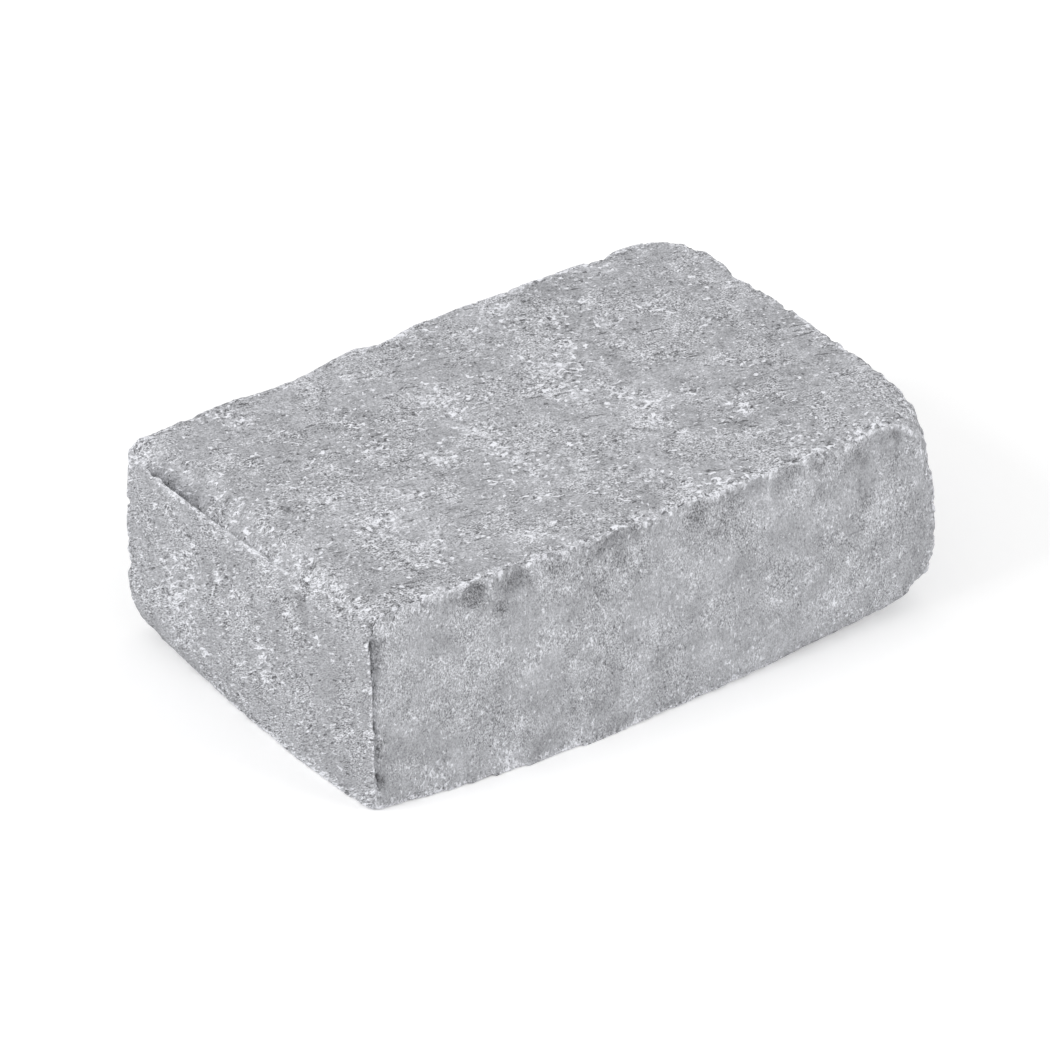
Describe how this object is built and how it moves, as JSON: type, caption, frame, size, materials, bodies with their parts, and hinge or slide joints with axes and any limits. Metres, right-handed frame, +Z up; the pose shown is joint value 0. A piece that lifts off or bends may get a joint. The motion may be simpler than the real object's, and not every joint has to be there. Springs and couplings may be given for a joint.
{
  "type": "concrete paving stone",
  "caption": "Rectangular block of grey pressed concrete with worn, rounded edges, laid flat side by side as paving.",
  "frame": {"origin": "middle of the flat base, under the middle of the block's outline", "axes": "+Z up from the base to the worn top face; +X along the length; +Y across the width"},
  "size_m": [0.24, 0.157, 0.08],
  "materials": {
    "concrete": "raw matt cast concrete, light cool grey, fine sandy grain, worn and tumbled edges"
  },
  "bodies": {
    "root": {"paving_stone": "concrete"}
  },
  "joints": []
}
